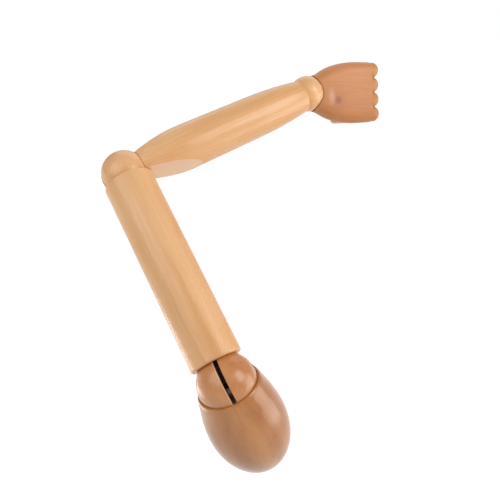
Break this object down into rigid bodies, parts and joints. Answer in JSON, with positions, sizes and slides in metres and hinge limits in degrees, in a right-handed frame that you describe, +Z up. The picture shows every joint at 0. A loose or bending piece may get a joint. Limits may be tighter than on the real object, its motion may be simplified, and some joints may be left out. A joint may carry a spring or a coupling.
{
  "type": "jointed mannequin arm",
  "caption": "Full-size jointed wooden mannequin arm: egg-shaped shoulder cap, upper arm and forearm on slotted wooden balls, and a hand with folding fingers and thumb.",
  "frame": {"origin": "centre of the mouth of the threaded insert on the shoulder cap's flat inner face", "axes": "+Y out of the flat inner face towards the torso, +Z up in the pose of the picture, +X towards the side the hand points to"},
  "size_m": [0.3459, 0.3245, 0.3744],
  "materials": {
    "pale_beech": "satin clear lacquer over turned beech",
    "warm_beech": "satin clear lacquer over carved beech",
    "brown_beech": "satin tinted lacquer over turned beech",
    "steel": "zinc plated",
    "brass": "turned"
  },
  "bodies": {
    "cap": {"shoulder_cap": "brown_beech", "mount_insert": "brass", "cap_quadrant": "steel", "cap_cross_pins": "steel"},
    "shoulder_ball": {"shoulder_ball": "brown_beech", "shoulder_centre_pin": "steel", "shoulder_quadrant_pin": "steel"},
    "upper_arm": {"upper_arm": "pale_beech", "shoulder_tang": "steel", "elbow_tang": "steel", "shoulder_cross_pins": "steel", "elbow_cross_pins": "steel"},
    "elbow_ball": {"elbow_ball": "warm_beech", "elbow_centre_pin": "steel", "elbow_quadrant_pin": "steel"},
    "forearm": {"forearm": "pale_beech", "forearm_quadrant": "steel", "wrist_tang": "steel", "forearm_cross_pins": "steel", "wrist_cross_pins": "steel"},
    "wrist_ball": {"wrist_ball": "warm_beech", "wrist_centre_pin": "steel", "wrist_quadrant_pin": "steel"},
    "palm": {"palm": "warm_beech", "palm_quadrant": "steel", "palm_cross_pins": "steel", "knuckle_rod": "steel", "thumb_pin": "steel"},
    "thumb": {"thumb": "warm_beech"},
    "index_proximal": {"index_proximal": "warm_beech", "index_proximal_pin": "steel"},
    "index_middle": {"index_middle": "warm_beech", "index_middle_pin": "steel"},
    "index_tip": {"index_tip": "warm_beech"},
    "middle_proximal": {"middle_proximal": "warm_beech", "middle_proximal_pin": "steel"},
    "middle_middle": {"middle_middle": "warm_beech", "middle_middle_pin": "steel"},
    "middle_tip": {"middle_tip": "warm_beech"},
    "ring_proximal": {"ring_proximal": "warm_beech", "ring_proximal_pin": "steel"},
    "ring_middle": {"ring_middle": "warm_beech", "ring_middle_pin": "steel"},
    "ring_tip": {"ring_tip": "warm_beech"},
    "little_proximal": {"little_proximal": "warm_beech", "little_proximal_pin": "steel"},
    "little_middle": {"little_middle": "warm_beech", "little_middle_pin": "steel"},
    "little_tip": {"little_tip": "warm_beech"}
  },
  "joints": [
    {"name": "shoulder_swing", "type": "hinge", "parent": "cap", "child": "shoulder_ball", "pos_m": [-0.02248, -0.034, 0.05563], "axis": [0, 1, 0], "range_deg": [-20.6, 23.4]},
    {"name": "shoulder_bend", "type": "hinge", "parent": "shoulder_ball", "child": "upper_arm", "pos_m": [-0.02248, -0.034, 0.05563], "axis": [-0.9178, 0, -0.3971], "range_deg": [-84.5, 0.5]},
    {"name": "elbow_bend", "type": "hinge", "parent": "upper_arm", "child": "elbow_ball", "pos_m": [-0.09499, 0.13041, 0.2232], "axis": [0.0035, -0.7131, 0.7011], "range_deg": [-1, 114.9]},
    {"name": "elbow_swing", "type": "hinge", "parent": "elbow_ball", "child": "forearm", "pos_m": [-0.09499, 0.13041, 0.2232], "axis": [0.3789, -0.6479, -0.6608], "range_deg": [-12, 12]},
    {"name": "wrist_bend", "type": "hinge", "parent": "forearm", "child": "wrist_ball", "pos_m": [0.13118, 0.1959, 0.28868], "axis": [0.3289, -0.2171, -0.9191], "range_deg": [-39.6, 24.39]},
    {"name": "wrist_tilt", "type": "hinge", "parent": "wrist_ball", "child": "palm", "pos_m": [0.13118, 0.1959, 0.28868], "axis": [-0.064, 0.9659, -0.251], "range_deg": [-41.84, 2.15]},
    {"name": "index_knuckle", "type": "hinge", "parent": "palm", "child": "index_proximal", "pos_m": [0.21254, 0.19409, 0.26099], "axis": [-0.0104, -0.2522, -0.9676], "range_deg": [0, 90]},
    {"name": "index_middle_joint", "type": "hinge", "parent": "index_proximal", "child": "index_middle", "pos_m": [0.21004, 0.23174, 0.25121], "axis": [-0.0104, -0.2522, -0.9676], "range_deg": [0, 90]},
    {"name": "index_tip_joint", "type": "hinge", "parent": "index_middle", "child": "index_tip", "pos_m": [0.18513, 0.23026, 0.25186], "axis": [-0.0104, -0.2522, -0.9676], "range_deg": [0, 62]},
    {"name": "middle_knuckle", "type": "hinge", "parent": "palm", "child": "middle_proximal", "pos_m": [0.21272, 0.19853, 0.27802], "axis": [-0.0104, -0.2522, -0.9676], "range_deg": [0, 90]},
    {"name": "middle_middle_joint", "type": "hinge", "parent": "middle_proximal", "child": "middle_middle", "pos_m": [0.2101, 0.23811, 0.26773], "axis": [-0.0104, -0.2522, -0.9676], "range_deg": [0, 90]},
    {"name": "middle_tip_joint", "type": "hinge", "parent": "middle_middle", "child": "middle_tip", "pos_m": [0.18518, 0.23663, 0.26839], "axis": [-0.0104, -0.2522, -0.9676], "range_deg": [0, 62]},
    {"name": "ring_knuckle", "type": "hinge", "parent": "palm", "child": "ring_proximal", "pos_m": [0.2129, 0.20297, 0.29505], "axis": [-0.0104, -0.2522, -0.9676], "range_deg": [0, 90]},
    {"name": "ring_middle_joint", "type": "hinge", "parent": "ring_proximal", "child": "ring_middle", "pos_m": [0.21041, 0.24062, 0.28527], "axis": [-0.0104, -0.2522, -0.9676], "range_deg": [0, 90]},
    {"name": "ring_tip_joint", "type": "hinge", "parent": "ring_middle", "child": "ring_tip", "pos_m": [0.18549, 0.23913, 0.28592], "axis": [-0.0104, -0.2522, -0.9676], "range_deg": [0, 62]},
    {"name": "little_knuckle", "type": "hinge", "parent": "palm", "child": "little_proximal", "pos_m": [0.21309, 0.20741, 0.31208], "axis": [-0.0104, -0.2522, -0.9676], "range_deg": [0, 90]},
    {"name": "little_middle_joint", "type": "hinge", "parent": "little_proximal", "child": "little_middle", "pos_m": [0.21091, 0.24027, 0.30354], "axis": [-0.0104, -0.2522, -0.9676], "range_deg": [0, 90]},
    {"name": "little_tip_joint", "type": "hinge", "parent": "little_middle", "child": "little_tip", "pos_m": [0.18999, 0.23902, 0.30409], "axis": [-0.0104, -0.2522, -0.9676], "range_deg": [0, 62]},
    {"name": "thumb_hinge", "type": "hinge", "parent": "palm", "child": "thumb", "pos_m": [0.1585, 0.21681, 0.27053], "axis": [0.9979, 0.0593, -0.0262], "range_deg": [-150, 0]}
  ]
}
